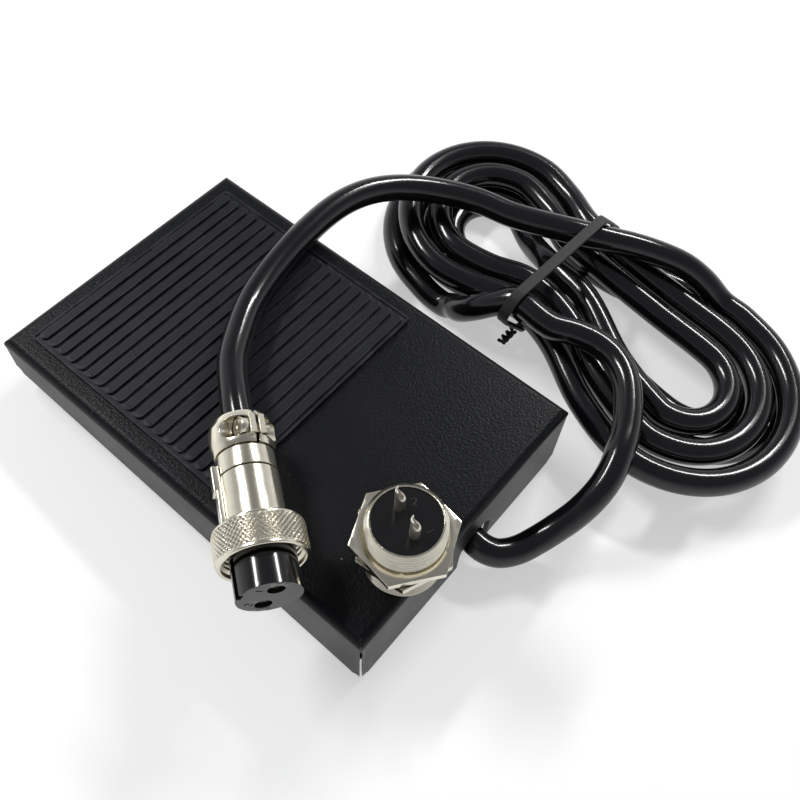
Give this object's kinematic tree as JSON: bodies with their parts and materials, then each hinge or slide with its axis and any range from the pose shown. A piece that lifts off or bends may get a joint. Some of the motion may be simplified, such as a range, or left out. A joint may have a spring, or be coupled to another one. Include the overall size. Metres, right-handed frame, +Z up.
{
  "type": "foot switch",
  "caption": "Flat pressed-steel foot switch with a ribbed rubber mat, a tied hank of black cord, a round screw-ring plug and a loose panel socket.",
  "frame": {"origin": "on the floor, on the rubber sole's underside below the middle of the pedal", "axes": "+X across the pedal, towards the hank of cord; +Y along the pedal, towards its low end that the foot presses; +Z up"},
  "size_m": [0.1509, 0.1496, 0.0476],
  "materials": {
    "black_paint": "fine-wrinkle satin paint",
    "mat_rubber": "matte ribbed rubber",
    "sole_rubber": "matte",
    "zinc_steel": "zinc plated",
    "spring_steel": "bright wire",
    "pale_plastic": "matte",
    "switch_plastic": "matte",
    "red_plastic": "matte",
    "red_wire": "flexible",
    "black_wire": "flexible",
    "cord_pvc": "glossy flexible sheath",
    "tie_plastic": "satin",
    "insert_plastic": "glossy moulded",
    "nickel": "warm nickel plating",
    "contact_brass": "plated",
    "pin_plating": "dull silver plating"
  },
  "bodies": {
    "base": {"rubber_sole": "sole_rubber", "base_plate": "black_paint", "hinge_bracket_left": "zinc_steel", "hinge_bracket_right": "zinc_steel", "bracket_rivets": "zinc_steel", "hinge_pin": "zinc_steel", "pin_clips": "zinc_steel", "stop_hook": "zinc_steel", "stop_pad": "sole_rubber", "spring_seat": "pale_plastic", "return_spring": "spring_steel", "switch_bracket": "zinc_steel", "switch_case": "switch_plastic", "switch_lid": "switch_plastic", "switch_screws": "zinc_steel", "switch_nuts": "zinc_steel", "switch_terminals": "contact_brass", "terminal_sleeves": "switch_plastic", "lever_pin": "zinc_steel", "wire_red": "red_wire", "wire_black": "black_wire", "cord_inner": "cord_pvc", "cord_saddle": "zinc_steel", "saddle_screws": "zinc_steel", "cord_grommet": "sole_rubber", "cord_lead": "cord_pvc", "cord_hank": "cord_pvc", "cord_tail": "cord_pvc", "cord_tie": "tie_plastic", "tie_ends": "tie_plastic", "plug_clamp_left": "nickel", "plug_clamp_right": "nickel", "plug_clamp_screws": "nickel", "plug_collar": "nickel", "plug_barrel": "nickel", "plug_key": "nickel", "plug_insert": "insert_plastic", "plug_contacts": "contact_brass", "ring_clip": "nickel"},
    "pedal": {"pedal_cover": "black_paint", "rubber_mat": "mat_rubber", "hinge_lugs": "black_paint", "striker_stud": "zinc_steel", "spring_boss": "zinc_steel", "stop_tab": "zinc_steel"},
    "lever": {"switch_lever": "zinc_steel"},
    "plunger": {"switch_plunger": "red_plastic"},
    "ring": {"coupling_ring": "nickel"},
    "socket": {"socket_shell": "nickel", "socket_insert": "insert_plastic", "socket_pins": "pin_plating", "socket_washer": "nickel"},
    "nut": {"socket_nut": "nickel"}
  },
  "joints": [
    {"name": "pedal_press", "type": "hinge", "parent": "base", "child": "pedal", "pos_m": [0, -0.04, 0.0125], "axis": [-1, 0, 0], "range_deg": [0, 2.2], "stiffness_Nm_per_rad": 12, "springref_deg": -1.15, "deforming": ["return_spring"]},
    {"name": "lever_tilt", "type": "hinge", "parent": "base", "child": "lever", "pos_m": [-0.008, -0.019, 0.0153], "axis": [-1, 0, 0], "range_deg": [0, 4.7]},
    {"name": "plunger_slide", "type": "slide", "parent": "base", "child": "plunger", "axis": [0, 0, -1], "range_m": [0, 0.0005]},
    {"name": "ring_spin", "type": "hinge", "parent": "base", "child": "ring", "pos_m": [-0.0342, -0.0266, 0.03078], "axis": [-0.5913, -0.8021, 0.0837], "continuous": true},
    {"name": "socket_lift", "type": "slide", "parent": "pedal", "child": "socket", "axis": [0, 0.0666, 0.9978], "range_m": [0, 0.04]},
    {"name": "nut_turn", "type": "hinge", "parent": "socket", "child": "nut", "pos_m": [-0.01556, -0.04559, 0.03494], "axis": [0, 0.0666, 0.9978], "continuous": true}
  ],
  "couplings": [
    {"joint": "lever_tilt", "follows": "pedal_press", "ratio": 2.1},
    {"joint": "plunger_slide", "follows": "pedal_press", "m_per_rad": 0.0126}
  ]
}
